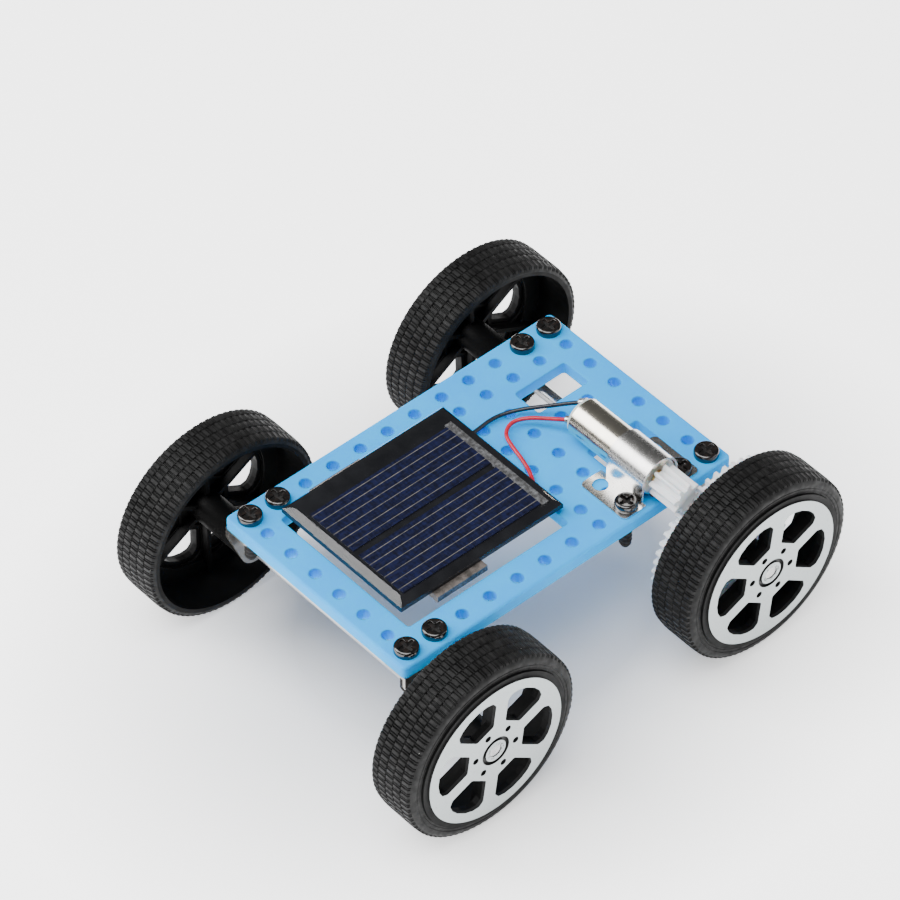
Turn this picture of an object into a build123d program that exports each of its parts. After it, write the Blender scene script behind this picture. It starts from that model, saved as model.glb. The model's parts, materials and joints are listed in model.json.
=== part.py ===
from build123d import *
import math
import os

# Solar mini car: millimetres, +X forward, +Y to the left, +Z up, origin on the ground
# under the middle of the car.

# ---- wheels and axles ----
WHEEL_R = 15.0
WHEEL_BASE = 50.0
AXLE_R = 1.0
AXLE_Z = WHEEL_R
FRONT_X = WHEEL_BASE / 2
REAR_X = -WHEEL_BASE / 2
FRONT_INNER = 22.9          # distance of a front wheel's inner face from the car's middle
REAR_INNER = 23.8           # the rear wheels stand further out, to clear the gear
TYRE_INNER_R = 14.0
TYRE_WIDTH = 8.0
TYRE_WALL = 0.8             # sidewall that wraps the outer edge of the rim
TYRE_LIP_R = 12.7
SHOULDER = 0.7
RIM_BORE_R = 13.4           # inside of the open cup behind each wheel
WEB_START = TYRE_WIDTH - TYRE_WALL      # the web lies against the tyre's sidewall
RING_START = 6.4            # the web is thicker outside the windows
RING_IN_R = 10.9
RIM_FACE = 8.05
RIM_LIP_FACE = 8.35
CAP_R = 11.8
CAP_FACE = 8.6
AXLE_END = 8.5
HUB_R = 2.4
HUB_BOSS_END = 19.2         # where the hub bosses stop, just short of the axle brackets
WINDOWS = 6
WINDOW_CORNER = 0.5
COLLAR_DEPTH = 0.4          # low lip round each window, set back from its edge
COLLAR_GAP = 0.6
COLLAR_WALL = 0.4
RIB_WIDTH = 0.7
RIB_DEPTH = 1.6
STUD_HOLE_R = 0.5
STUD_HOLE_PITCH_R = 3.6
GROOVE_IN_R = 1.8
GROOVE_OUT_R = 2.35
# how far each wheel happens to have rolled, as the angle of its windows
PHASES = {"front_left": 7.4, "front_right": 0.5, "rear_left": 6.8, "rear_right": -2.5}

# ---- perforated plate ----
PLATE_LENGTH = 60.0
PLATE_WIDTH = 37.5
PLATE_THICK = 2.0
PLATE_TOP = 24.2
PLATE_BOTTOM = PLATE_TOP - PLATE_THICK
PLATE_CORNER = 0.8
PLATE_EDGE = 0.4
PITCH = 5.0
COLUMNS = 12
INNER_ROWS = 6
EDGE_ROW_Y = 16.25
HOLE_R = 0.95
OPENING_CORNER = 0.5
PANEL_OPENING = (-4.6, 24.55, -13.3, 13.3)      # low x, high x, low y, high y
SIDE_OPENING = (-24.9, -15.5, -10.05, -4.95)
MOTOR_OPENING = (-24.9, -15.5, 4.95, 10.05)

# ---- axle brackets ----
BRACKET_THICK = 0.5
BRACKET_HALF = 4.9
BRACKET_INNER_Y = 14.0
BRACKET_OUTER_Y = 18.7
EAR_R = 2.6
EAR_SHOULDER_Z = 20.3       # the ear keeps its full width down to here
AXLE_CLEARANCE = 0.05

# ---- screws ----
SCREW_R = HOLE_R
HEAD_R = 1.8
SHORT_HEAD_R = 1.68         # the motor bracket's screws, which stand beside its walls
HEAD_HEIGHT = 1.15
HEAD_ROUND = 0.5
SCREW_LENGTH = 7.8
TIP_LENGTH = 0.6
TIP_R = 0.6
CROSS_LENGTH = 2.0
CROSS_WIDTH = 0.45
CROSS_DEPTH = 0.7

# ---- motor ----
MOTOR_X = -17.5
MOTOR_Z = 27.5
CAN_R = 3.0
CAN_INNER_R = 2.75
CAN_REAR = 2.1
CAN_FRONT = 17.3
CAN_WALL = 0.35
CAP_REAR = 1.6
CAP_FRONT = 3.1
SHAFT_R = 0.4
SHAFT_REAR = 1.7
SHAFT_FRONT = 21.6           # the shaft ends inside the pinion's blind bore
SHAFT_BORE_R = 0.42
FRONT_BUSH_R = 1.0
REAR_BUSH_R = 0.9
FRONT_BUSH = (16.6, 17.6)
REAR_BUSH = (1.6, 3.1)
MAGNET_R = 1.95
MAGNET_SPAN = (5.3, 15.4)
MAGNET_GAP = 1.6
CORE_R = 1.7
CORE_SPAN = (5.9, 14.8)
SHOE_IN_R = 1.35
NECK = 0.7
CORE_HUB_R = 0.75
SLOT = 0.4
WINDING_R = 1.3
WINDING_SPAN = (5.5, 15.2)
POLES = 3
COMMUTATOR_R = 0.8
COMMUTATOR_HUB_R = 0.55
COMMUTATOR_SPAN = (3.6, 5.0)
COMMUTATOR_SLOT = 0.12
BRUSH_GAP = 0.03
BRUSH_THICK = 0.12
BRUSH_WIDTH = 0.7
BRUSH_END = 4.7
TERMINAL_R = 1.6            # distance of each terminal from the motor's axis
TERMINAL_TURN = -30.0
TERMINAL_THICK = 0.3
TERMINAL_WIDTH = 0.9
TERMINAL_TIP = 0.6
BLOB_R = 0.6                # solder that joins each wire to its terminal
BLOB_LENGTH = 1.1
MOTOR_TAPE_WIDTH = 2.2

# ---- motor bracket ----
STRAP_THICK = 0.3
STRAP = (10.3, 17.5)
FLANGE = (9.0, 18.1)
FLANGE_HALF = 7.1
FLANGE_CORNER = 0.8
FLANGE_FREE_HOLE_Y = 11.0
FLANGE_FREE_HOLE_R = 1.15

# ---- gears ----
MODULE = 0.5
PRESSURE_ANGLE = 20.0
GEAR_TEETH = 50
PINION_TEETH = 8
GEAR_TIP_R = 12.8
GEAR_ROOT_R = 11.85
PINION_TIP_R = 2.5
PINION_ROOT_R = 1.6
TOOTH_THICK = 0.70
GEAR = (21.9, 23.5)
GEAR_HUB_R = 2.4
GEAR_HUB_START = 19.1
GEAR_RECESS_R = 10.6
GEAR_RECESS_IN_R = 3.4
GEAR_WEB = 0.8
PINION = (17.8, 22.9)

# ---- solar panel ----
PANEL = (-5.3, 24.1, -13.5, 11.3)
PANEL_BOTTOM = PLATE_TOP + 1.0
BOARD_THICK = 0.6
RESIN_THICK = 1.0
RESIN_EDGE = 0.25           # height of the resin at the panel's rim
RESIN_SLOPE = 2.2           # how far in the resin keeps rising
CELL_THICK = 0.2
CELL_X = (-3.0, 22.0)
CELL_FAR_Y = (-10.1, -1.0)
CELL_NEAR_Y = (0.1, 9.3)
BUSBAR_X = (-4.15, -3.0)
BUSBAR_Y = (-10.6, 9.6)
CROSS_TAPE = (9.6, 18.6, -14.2, 12.5)
REAR_TAPE = (-5.3, -2.3, -6.0, 3.8)
JOINT_X = (8.2, 9.5)
JOINT_Y = (-8.4, 6.2)       # middles of the black and the red wire's solder joints
JOINT_WIDTH = 1.4
JOINT_HEIGHT = 0.8
JOINT_ROUND = 0.3

# ---- wires, from the solder joints under the panel to the motor's terminals ----
WIRE_R = 0.3
BLACK_ROUTE = [
    (8.2, -8.4, 24.75), (5.4, -8.4, 24.75), (1.6, -7.8, 24.75), (-2.6, -7.5, 24.75),
    (-6.4, -7.8, 24.75), (-9.4, -8.05, 24.85), (-11.8, -7.4, 25.0), (-13.9, -6.1, 25.35),
    (-15.6, -4.5, 25.8), (-16.9, -3.0, 26.4), (-18.1, -1.4, 27.2), (-18.7, 0.0, 28.0),
]
RED_ROUTE = [
    (8.2, 6.2, 24.75), (5.4, 6.2, 24.75), (1.6, 6.9, 24.75), (-2.4, 7.1, 24.75),
    (-5.2, 5.6, 24.75), (-6.7, 3.0, 24.75), (-7.5, 0.3, 24.8), (-8.0, -2.2, 24.9),
    (-8.7, -4.5, 25.05), (-10.75, -5.55, 25.25), (-12.9, -4.4, 25.55), (-14.6, -2.1, 25.95),
    (-15.95, 0.1, 26.5),
]
ARC_SHARE = 0.45

SIDES = {"left": 1, "right": -1}


def write_piece(piece, name):
    """Label a finished piece and write it to its own file."""
    piece.part.label = name
    export_step(piece.part, f"parts/{name}.step")


def side_plane(x, y, z, turn=0.0):
    """Vertical plane whose normal is -Y, with +X to its right and +Z up when not turned."""
    right = (math.cos(math.radians(turn)), 0, math.sin(math.radians(turn)))
    return Plane(origin=(x, y, z), x_dir=right, z_dir=(0, -1, 0))


def wheel_plane(x, side, distance):
    """Plane square to an axle that faces away from the car, with +Z up."""
    return Plane(origin=(x, side * distance, AXLE_Z), x_dir=(-side, 0, 0), z_dir=(0, side, 0))


def rectangle_between(low_x, high_x, low_y, high_y):
    """Rectangle in the current sketch, given by its limits."""
    with Locations(((low_x + high_x) / 2, (low_y + high_y) / 2)):
        Rectangle(high_x - low_x, high_y - low_y)


def ring_between(outer_r, inner_r):
    """Flat ring in the current sketch."""
    Circle(outer_r)
    Circle(inner_r, mode=Mode.SUBTRACT)


# ---------------------------------------------------------------- plate

def inside(point, limits):
    low_x, high_x, low_y, high_y = limits
    return low_x < point[0] < high_x and low_y < point[1] < high_y


def plate_holes():
    """Centres of the round holes that no opening replaces."""
    columns = [(index - (COLUMNS - 1) / 2) * PITCH for index in range(COLUMNS)]
    rows = [(index - (INNER_ROWS - 1) / 2) * PITCH for index in range(INNER_ROWS)]
    rows += [-EDGE_ROW_Y, EDGE_ROW_Y]
    openings = (PANEL_OPENING, SIDE_OPENING, MOTOR_OPENING)
    return [(x, y) for x in columns for y in rows
            if not any(inside((x, y), limits) for limits in openings)]


def make_plate():
    with BuildPart() as plate:
        with BuildSketch(Plane.XY.offset(PLATE_BOTTOM)):
            RectangleRounded(PLATE_LENGTH, PLATE_WIDTH, PLATE_CORNER)
        extrude(amount=PLATE_THICK)
        fillet(plate.edges().group_by(Axis.Z)[-1], PLATE_EDGE)
        with BuildSketch(Plane.XY.offset(PLATE_BOTTOM)) as openings:
            rectangle_between(*PANEL_OPENING)
            rectangle_between(*SIDE_OPENING)
            rectangle_between(*MOTOR_OPENING)
            fillet(openings.vertices(), OPENING_CORNER)
            with Locations(*plate_holes()):
                Circle(HOLE_R)
        extrude(amount=PLATE_THICK, mode=Mode.SUBTRACT)
    write_piece(plate, "chassis_plate")


# ---------------------------------------------------------------- axle brackets and screws

def make_axle_bracket(x, side, name):
    """Sheet-metal angle: a flange under the plate and an ear that carries the axle."""
    shoulder = EAR_SHOULDER_Z - AXLE_Z
    top = PLATE_BOTTOM - AXLE_Z
    reach = math.hypot(BRACKET_HALF, shoulder)
    tangent = math.atan2(shoulder, BRACKET_HALF) - math.acos(EAR_R / reach)
    touch_x = EAR_R * math.cos(tangent)
    touch_y = EAR_R * math.sin(tangent)
    with BuildPart() as bracket:
        with BuildSketch(Plane.XY.offset(PLATE_BOTTOM - BRACKET_THICK)) as flange:
            limits = sorted((side * BRACKET_INNER_Y, side * BRACKET_OUTER_Y))
            rectangle_between(x - BRACKET_HALF, x + BRACKET_HALF, *limits)
            fillet(flange.vertices().group_by(Axis.Y)[0 if side > 0 else -1], PLATE_CORNER)
            with Locations((x - PITCH / 2, side * EDGE_ROW_Y), (x + PITCH / 2, side * EDGE_ROW_Y)):
                Circle(HOLE_R, mode=Mode.SUBTRACT)
        extrude(amount=BRACKET_THICK)
        with BuildSketch(wheel_plane(x, side, BRACKET_OUTER_Y - BRACKET_THICK)):
            with BuildLine():
                Polyline((-touch_x, touch_y), (-BRACKET_HALF, shoulder), (-BRACKET_HALF, top),
                         (BRACKET_HALF, top), (BRACKET_HALF, shoulder), (touch_x, touch_y))
                ThreePointArc((touch_x, touch_y), (0, -EAR_R), (-touch_x, touch_y))
            make_face()
            Circle(AXLE_R + AXLE_CLEARANCE, mode=Mode.SUBTRACT)
        extrude(amount=BRACKET_THICK)
    write_piece(bracket, name)


def make_screws(seat, points, name, head_r=HEAD_R):
    """Pan-head self-tapping screws standing in the given holes, heads resting at seat."""
    with BuildPart() as screws:
        with BuildSketch(Plane.XY.offset(seat)):
            with Locations(*points):
                Circle(head_r)
        extrude(amount=HEAD_HEIGHT)
        fillet(screws.edges().group_by(Axis.Z)[-1], HEAD_ROUND)
        with BuildSketch(Plane.XY.offset(seat)):
            with Locations(*points):
                Circle(SCREW_R)
        extrude(amount=TIP_LENGTH - SCREW_LENGTH)
        with Locations(*[(x, y, seat - SCREW_LENGTH) for x, y in points]):
            Cone(TIP_R, SCREW_R, TIP_LENGTH, align=(Align.CENTER, Align.CENTER, Align.MIN))
        with BuildSketch(Plane.XY.offset(seat + HEAD_HEIGHT)):
            with Locations(*points):
                Rectangle(CROSS_LENGTH, CROSS_WIDTH)
                Rectangle(CROSS_WIDTH, CROSS_LENGTH)
        extrude(amount=-CROSS_DEPTH, mode=Mode.SUBTRACT)
    write_piece(screws, name)


# ---------------------------------------------------------------- wheels

def make_tyre(x, side, inner, name):
    plane = wheel_plane(x, side, inner)
    with BuildPart() as tyre:
        with BuildSketch(plane):
            ring_between(WHEEL_R, TYRE_INNER_R)
        extrude(amount=TYRE_WIDTH)
        with BuildSketch(plane.offset(TYRE_WIDTH - TYRE_WALL)):
            ring_between(WHEEL_R, TYRE_LIP_R)
        extrude(amount=TYRE_WALL)
        outer_edges = tyre.edges().filter_by(GeomType.CIRCLE).group_by(SortBy.RADIUS)[-1]
        fillet(outer_edges, SHOULDER)
    write_piece(tyre, name)


def window_sketch(grow=0.0):
    """One wheel window on the local x axis, grown outward by a margin."""
    corners = [(5.15, 18.0), (8.9, 23.0), (9.75, 19.5), (10.1, 13.0), (10.25, 5.0)]
    upper = [(r * math.cos(math.radians(a)), r * math.sin(math.radians(a))) for r, a in corners]
    with BuildSketch() as window:
        Polygon(*upper, *[(px, -py) for px, py in reversed(upper)], align=None)
        fillet(window.vertices(), WINDOW_CORNER)
        if grow:
            offset(amount=grow)
    return window.sketch


def local_phase(side, phase):
    """Angle of the first window in the wheel's own plane."""
    return -side * phase


def make_rim(x, side, inner, hub_reach, phase, name):
    """Open plastic cup with a windowed web, window collars, ribs and a hub boss."""
    plane = wheel_plane(x, side, inner)
    window = window_sketch()
    inside_lip = window_sketch(COLLAR_GAP)
    outside_lip = window_sketch(COLLAR_GAP + COLLAR_WALL)
    turn = local_phase(side, phase)
    rim_middle = (RIM_BORE_R + TYRE_INNER_R) / 2
    with BuildPart() as rim:
        with BuildSketch(plane):
            ring_between(TYRE_INNER_R, RIM_BORE_R)
        extrude(amount=WEB_START)
        with BuildSketch(plane.offset(RING_START)):
            ring_between(rim_middle, RING_IN_R)
        extrude(amount=WEB_START - RING_START)
        with BuildSketch(plane.offset(WEB_START)):
            Circle(TYRE_LIP_R)
        extrude(amount=RIM_FACE - WEB_START)
        with BuildSketch(plane.offset(RIM_FACE)):
            ring_between(TYRE_LIP_R, CAP_R)
        extrude(amount=RIM_LIP_FACE - RIM_FACE)
        with BuildSketch(plane.offset(WEB_START - COLLAR_DEPTH)):
            with PolarLocations(0, WINDOWS, start_angle=turn):
                add(outside_lip)
        extrude(amount=COLLAR_DEPTH)
        with BuildSketch(plane.offset(WEB_START - COLLAR_DEPTH)):
            with PolarLocations(0, WINDOWS, start_angle=turn):
                add(inside_lip)
        extrude(amount=COLLAR_DEPTH, mode=Mode.SUBTRACT)
        with BuildSketch(plane.offset(WEB_START - RIB_DEPTH)):
            with PolarLocations(0, WINDOWS, start_angle=turn + 180 / WINDOWS):
                rectangle_between(HUB_R / 2, rim_middle, -RIB_WIDTH / 2, RIB_WIDTH / 2)
        extrude(amount=RIB_DEPTH)
        with BuildSketch(plane.offset(-hub_reach)):
            Circle(HUB_R)
        extrude(amount=WEB_START + hub_reach)
        with BuildSketch(plane):
            with PolarLocations(0, WINDOWS, start_angle=turn):
                add(window)
        extrude(amount=RIM_FACE, mode=Mode.SUBTRACT)
        with BuildSketch(plane.offset(-hub_reach)):
            Circle(AXLE_R)
        extrude(amount=RIM_FACE + hub_reach, mode=Mode.SUBTRACT)
    write_piece(rim, name)


def make_hub_cap(x, side, inner, phase, name):
    """Silver face disc with six windows, six small holes and a groove round the axle end."""
    plane = wheel_plane(x, side, inner)
    window = window_sketch()
    turn = local_phase(side, phase)
    with BuildPart() as cap:
        with BuildSketch(plane.offset(RIM_FACE)):
            ring_between(CAP_R, AXLE_R)
            with PolarLocations(0, WINDOWS, start_angle=turn):
                add(window, mode=Mode.SUBTRACT)
            with PolarLocations(STUD_HOLE_PITCH_R, WINDOWS, start_angle=turn):
                Circle(STUD_HOLE_R, mode=Mode.SUBTRACT)
        extrude(amount=CAP_FACE - RIM_FACE)
        with BuildSketch(plane.offset(CAP_FACE)):
            ring_between(GROOVE_OUT_R, GROOVE_IN_R)
        extrude(amount=-(CAP_FACE - RIM_FACE) * 3 / 4, mode=Mode.SUBTRACT)
    write_piece(cap, name)


def make_rod(x, z, radius, low_y, high_y, name):
    """Round steel rod along Y."""
    with BuildPart() as rod:
        with BuildSketch(side_plane(x, high_y, z)):
            Circle(radius)
        extrude(amount=high_y - low_y)
    write_piece(rod, name)


# ---------------------------------------------------------------- gears

def involute(angle):
    return math.tan(angle) - angle


def tooth_flank(teeth, radii):
    """Half tooth angles at the given radii, an involute above the base circle."""
    pitch_r = MODULE * teeth / 2
    base_r = pitch_r * math.cos(math.radians(PRESSURE_ANGLE))
    half_at_base = TOOTH_THICK / (2 * pitch_r) + involute(math.radians(PRESSURE_ANGLE))
    flank = []
    for radius in radii:
        pressure = math.acos(min(1.0, base_r / radius))
        flank.append((radius, half_at_base - involute(pressure)))
    return flank


def gear_outline(teeth, radii, first_tooth):
    """Points of a spur gear's outline, with one tooth centred on the first angle."""
    flank = tooth_flank(teeth, radii)
    points = []
    for index in range(teeth):
        centre = math.radians(first_tooth) + 2 * math.pi * index / teeth
        rising = [(radius, centre - half) for radius, half in flank]
        falling = [(radius, centre + half) for radius, half in reversed(flank)]
        points += [(r * math.cos(a), r * math.sin(a)) for r, a in rising + falling]
    return points


MESH_ANGLE = math.degrees(math.atan2(MOTOR_Z - AXLE_Z, MOTOR_X - REAR_X))


def make_drive_gear():
    """Spur gear on the rear axle, with a recessed web and a hub towards the plate."""
    radii = [GEAR_ROOT_R, (GEAR_ROOT_R + GEAR_TIP_R) / 2, GEAR_TIP_R]
    first_tooth = MESH_ANGLE + 180 / GEAR_TEETH
    recess = (GEAR[1] - GEAR[0] - GEAR_WEB) / 2
    with BuildPart() as gear:
        with BuildSketch(side_plane(REAR_X, GEAR[1], AXLE_Z)):
            Polygon(*gear_outline(GEAR_TEETH, radii, first_tooth), align=None)
        extrude(amount=GEAR[1] - GEAR[0])
        with BuildSketch(side_plane(REAR_X, GEAR[1], AXLE_Z)):
            ring_between(GEAR_RECESS_R, GEAR_RECESS_IN_R)
        extrude(amount=recess, mode=Mode.SUBTRACT)
        with BuildSketch(side_plane(REAR_X, GEAR[0] + recess, AXLE_Z)):
            ring_between(GEAR_RECESS_R, GEAR_RECESS_IN_R)
        extrude(amount=recess, mode=Mode.SUBTRACT)
        with BuildSketch(side_plane(REAR_X, GEAR[0], AXLE_Z)):
            Circle(GEAR_HUB_R)
        extrude(amount=GEAR[0] - GEAR_HUB_START)
        with BuildSketch(side_plane(REAR_X, GEAR[1], AXLE_Z)):
            Circle(AXLE_R)
        extrude(amount=GEAR[1] - GEAR_HUB_START, mode=Mode.SUBTRACT)
    write_piece(gear, "drive_gear")


def make_pinion():
    base_r = MODULE * PINION_TEETH / 2 * math.cos(math.radians(PRESSURE_ANGLE))
    radii = [PINION_ROOT_R, base_r, (base_r + PINION_TIP_R) / 2, PINION_TIP_R]
    with BuildPart() as pinion:
        with BuildSketch(side_plane(MOTOR_X, PINION[1], MOTOR_Z)):
            Polygon(*gear_outline(PINION_TEETH, radii, MESH_ANGLE + 180), align=None)
        extrude(amount=PINION[1] - PINION[0])
        with BuildSketch(side_plane(MOTOR_X, SHAFT_FRONT, MOTOR_Z)):
            Circle(SHAFT_R)
        extrude(amount=SHAFT_FRONT - PINION[0], mode=Mode.SUBTRACT)
    write_piece(pinion, "pinion")


# ---------------------------------------------------------------- motor

def motor_plane(y, turn=0.0):
    """Plane square to the motor's axis at a station along Y, normal -Y."""
    return side_plane(MOTOR_X, y, MOTOR_Z, turn)


def make_motor_can():
    with BuildPart() as can:
        with BuildSketch(motor_plane(CAN_FRONT)):
            Circle(CAN_R)
        extrude(amount=CAN_FRONT - CAN_REAR)
        fillet(can.edges().group_by(Axis.Y)[-1], STRAP_THICK)
        with BuildSketch(motor_plane(CAN_FRONT - CAN_WALL)):
            Circle(CAN_INNER_R)
        extrude(amount=CAN_FRONT - CAN_WALL - CAN_REAR, mode=Mode.SUBTRACT)
        with BuildSketch(motor_plane(CAN_FRONT)):
            Circle(FRONT_BUSH_R)
        extrude(amount=CAN_WALL, mode=Mode.SUBTRACT)
    write_piece(can, "motor_can")


def make_bush(radius, span, name):
    with BuildPart() as bush:
        with BuildSketch(motor_plane(span[1])):
            ring_between(radius, SHAFT_BORE_R)
        extrude(amount=span[1] - span[0])
    write_piece(bush, name)


def terminal_centres():
    return [(TERMINAL_R, 0), (-TERMINAL_R, 0)]


def make_end_cap():
    """Plastic plug that closes the can, holds the rear bush and passes the terminals."""
    with BuildPart() as cap:
        with BuildSketch(motor_plane(CAP_FRONT, TERMINAL_TURN)):
            ring_between(CAN_INNER_R, REAR_BUSH_R)
            with Locations(*terminal_centres()):
                Rectangle(TERMINAL_THICK, TERMINAL_WIDTH, mode=Mode.SUBTRACT)
        extrude(amount=CAP_FRONT - CAP_REAR)
    write_piece(cap, "motor_end_cap")


def make_terminals():
    with BuildPart() as terminals:
        with BuildSketch(motor_plane(CAP_FRONT, TERMINAL_TURN)):
            with Locations(*terminal_centres()):
                Rectangle(TERMINAL_THICK, TERMINAL_WIDTH)
        extrude(amount=CAP_FRONT - TERMINAL_TIP)
    write_piece(terminals, "motor_terminals")


def make_brushes():
    """Two leaf brushes: a foot on the end cap and a blade beside the commutator."""
    blade_r = COMMUTATOR_R + BRUSH_GAP
    foot_end = TERMINAL_R + TERMINAL_THICK / 2
    with BuildPart() as brushes:
        with BuildSketch(motor_plane(CAP_FRONT + BRUSH_THICK, TERMINAL_TURN)):
            for sign in (-1, 1):
                limits = sorted((sign * blade_r, sign * foot_end))
                rectangle_between(*limits, -BRUSH_WIDTH / 2, BRUSH_WIDTH / 2)
        extrude(amount=BRUSH_THICK)
        with BuildSketch(motor_plane(BRUSH_END, TERMINAL_TURN)):
            for sign in (-1, 1):
                limits = sorted((sign * blade_r, sign * (blade_r + BRUSH_THICK)))
                rectangle_between(*limits, -BRUSH_WIDTH / 2, BRUSH_WIDTH / 2)
        extrude(amount=BRUSH_END - CAP_FRONT - BRUSH_THICK)
    write_piece(brushes, "motor_brushes")


def make_magnets():
    with BuildPart() as magnets:
        with BuildSketch(motor_plane(MAGNET_SPAN[1])):
            ring_between(CAN_INNER_R, MAGNET_R)
            Rectangle(MAGNET_GAP, 2 * CAN_R, mode=Mode.SUBTRACT)
        extrude(amount=MAGNET_SPAN[1] - MAGNET_SPAN[0])
    write_piece(magnets, "motor_magnets")


def pole_rectangles(width, reach, **options):
    """A radial bar for each pole in the current sketch."""
    with PolarLocations(0, POLES, start_angle=90):
        with Locations((reach / 2, 0)):
            Rectangle(reach, width, **options)


def make_armature_core():
    with BuildPart() as core:
        with BuildSketch(motor_plane(CORE_SPAN[1])):
            ring_between(CORE_R, SHOE_IN_R)
            with PolarLocations(CORE_R, POLES, start_angle=90 + 180 / POLES):
                Rectangle(2 * CORE_R - SHOE_IN_R, SLOT, mode=Mode.SUBTRACT)
            pole_rectangles(NECK, (CORE_R + SHOE_IN_R) / 2)
            Circle(CORE_HUB_R)
            Circle(SHAFT_R, mode=Mode.SUBTRACT)
        extrude(amount=CORE_SPAN[1] - CORE_SPAN[0])
    write_piece(core, "armature_core")


def make_windings():
    with BuildPart() as windings:
        with BuildSketch(motor_plane(WINDING_SPAN[1])):
            ring_between(WINDING_R, CORE_HUB_R)
            pole_rectangles(NECK, CORE_R, mode=Mode.SUBTRACT)
        extrude(amount=WINDING_SPAN[1] - WINDING_SPAN[0])
    write_piece(windings, "armature_windings")


def make_commutator():
    length = COMMUTATOR_SPAN[1] - COMMUTATOR_SPAN[0]
    with BuildPart() as segments:
        with BuildSketch(motor_plane(COMMUTATOR_SPAN[1])):
            ring_between(COMMUTATOR_R, COMMUTATOR_HUB_R)
            pole_rectangles(COMMUTATOR_SLOT, CORE_R, mode=Mode.SUBTRACT)
        extrude(amount=length)
    write_piece(segments, "commutator_segments")
    with BuildPart() as hub:
        with BuildSketch(motor_plane(COMMUTATOR_SPAN[1])):
            ring_between(COMMUTATOR_HUB_R, SHAFT_R)
        extrude(amount=length)
    write_piece(hub, "commutator_hub")


def make_motor_tape():
    """Soft pad between the plate and the can, pressed to the can's curve."""
    half = MOTOR_TAPE_WIDTH / 2
    foot = PLATE_TOP - MOTOR_Z
    crest = -math.sqrt(CAN_R ** 2 - half ** 2)
    with BuildPart() as tape:
        with BuildSketch(motor_plane(CAN_FRONT)):
            rectangle_between(-half, half, foot, crest)
            Circle(CAN_R, mode=Mode.SUBTRACT)
        extrude(amount=CAN_FRONT - CAN_REAR)
    write_piece(tape, "motor_tape")


def make_motor_bracket():
    """Sheet-metal saddle: a strap over the can and a drilled flange on each side."""
    outer_r = CAN_R + STRAP_THICK
    foot = PLATE_TOP - MOTOR_Z
    screw_y = EDGE_ROW_Y
    with BuildPart() as bracket:
        with BuildSketch(motor_plane(STRAP[1])):
            Circle(outer_r)
            rectangle_between(-outer_r, outer_r, foot, 0)
            Circle(CAN_R, mode=Mode.SUBTRACT)
            with Locations((0, foot / 2)):
                Rectangle(2 * CAN_R, -foot, mode=Mode.SUBTRACT)
        extrude(amount=STRAP[1] - STRAP[0])
        with BuildSketch(Plane.XY.offset(PLATE_TOP)) as flanges:
            rectangle_between(MOTOR_X - FLANGE_HALF, MOTOR_X + FLANGE_HALF, *FLANGE)
            fillet(flanges.vertices(), FLANGE_CORNER)
            with Locations((MOTOR_X, sum(FLANGE) / 2)):
                Rectangle(2 * CAN_R, FLANGE[1] - FLANGE[0], mode=Mode.SUBTRACT)
            with Locations((MOTOR_X - PITCH, screw_y), (MOTOR_X + PITCH, screw_y)):
                Circle(SCREW_R, mode=Mode.SUBTRACT)
            with Locations((MOTOR_X - PITCH, FLANGE_FREE_HOLE_Y), (MOTOR_X + PITCH, FLANGE_FREE_HOLE_Y)):
                Circle(FLANGE_FREE_HOLE_R, mode=Mode.SUBTRACT)
        extrude(amount=STRAP_THICK)
    write_piece(bracket, "motor_bracket")


# ---------------------------------------------------------------- solar panel

def make_block(limits, low_z, high_z, name):
    """Plain rectangular layer."""
    with BuildPart() as block:
        with BuildSketch(Plane.XY.offset(low_z)):
            rectangle_between(*limits)
        extrude(amount=high_z - low_z)
    write_piece(block, name)


def cell_rectangles(**options):
    """The two half cells in the current sketch."""
    for low_y, high_y in (CELL_FAR_Y, CELL_NEAR_Y):
        with Locations((sum(CELL_X) / 2, (low_y + high_y) / 2)):
            Rectangle(CELL_X[1] - CELL_X[0], high_y - low_y, **options)


def make_panel():
    board_top = PANEL_BOTTOM + BOARD_THICK
    make_block(PANEL, PANEL_BOTTOM, board_top, "panel_board")
    make_block(BUSBAR_X + BUSBAR_Y, board_top, board_top + CELL_THICK, "panel_busbar")
    make_block(CROSS_TAPE, PLATE_TOP, PANEL_BOTTOM, "panel_tape_cross")
    make_block(REAR_TAPE, PLATE_TOP, PANEL_BOTTOM, "panel_tape_rear")
    with BuildPart() as cells:
        with BuildSketch(Plane.XY.offset(board_top)):
            cell_rectangles()
        extrude(amount=CELL_THICK)
    write_piece(cells, "solar_cells")
    with BuildPart() as resin:
        with BuildSketch(Plane.XY.offset(board_top)):
            rectangle_between(*PANEL)
        extrude(amount=RESIN_THICK)
        top = resin.faces().sort_by(Axis.Z)[-1]
        chamfer(top.edges(), RESIN_SLOPE, RESIN_THICK - RESIN_EDGE, reference=top)
        with BuildSketch(Plane.XY.offset(board_top)):
            cell_rectangles()
            rectangle_between(*BUSBAR_X, *BUSBAR_Y)
        extrude(amount=CELL_THICK, mode=Mode.SUBTRACT)
    write_piece(resin, "panel_resin")
    with BuildPart() as joints:
        with BuildSketch(Plane.XY.offset(PANEL_BOTTOM)):
            with Locations(*[(sum(JOINT_X) / 2, y) for y in JOINT_Y]):
                Rectangle(JOINT_X[1] - JOINT_X[0], JOINT_WIDTH)
        extrude(amount=-JOINT_HEIGHT)
        fillet(joints.edges().filter_by(Axis.Z).group_by(Axis.X)[-1], JOINT_ROUND)
    write_piece(joints, "panel_solder_joints")


# ---------------------------------------------------------------- wires

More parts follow.
